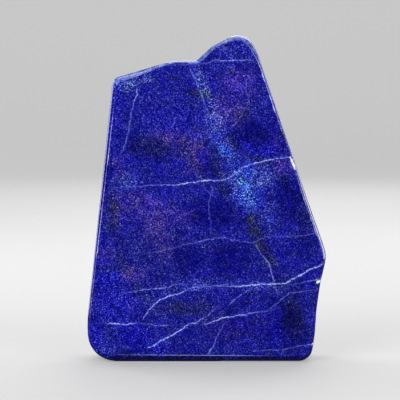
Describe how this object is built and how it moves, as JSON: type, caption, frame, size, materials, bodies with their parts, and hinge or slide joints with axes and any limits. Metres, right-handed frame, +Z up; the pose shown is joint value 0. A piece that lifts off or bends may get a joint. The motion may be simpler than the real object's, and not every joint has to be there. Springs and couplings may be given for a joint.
{
  "type": "polished lapis lazuli slab",
  "caption": "Free-standing polished slab of deep blue lapis lazuli with a stepped top, a pointed right side, pale calcite veins and gold pyrite specks.",
  "frame": {"origin": "on the resting plane, at the centre of the slab's width and thickness", "axes": "+Z up along the height, +X to the right of someone who faces the polished front, which looks along -Y"},
  "size_m": [0.1541, 0.0359, 0.2099],
  "materials": {
    "lapis": "gloss"
  },
  "bodies": {
    "root": {"lapis_slab": "lapis"}
  },
  "joints": []
}
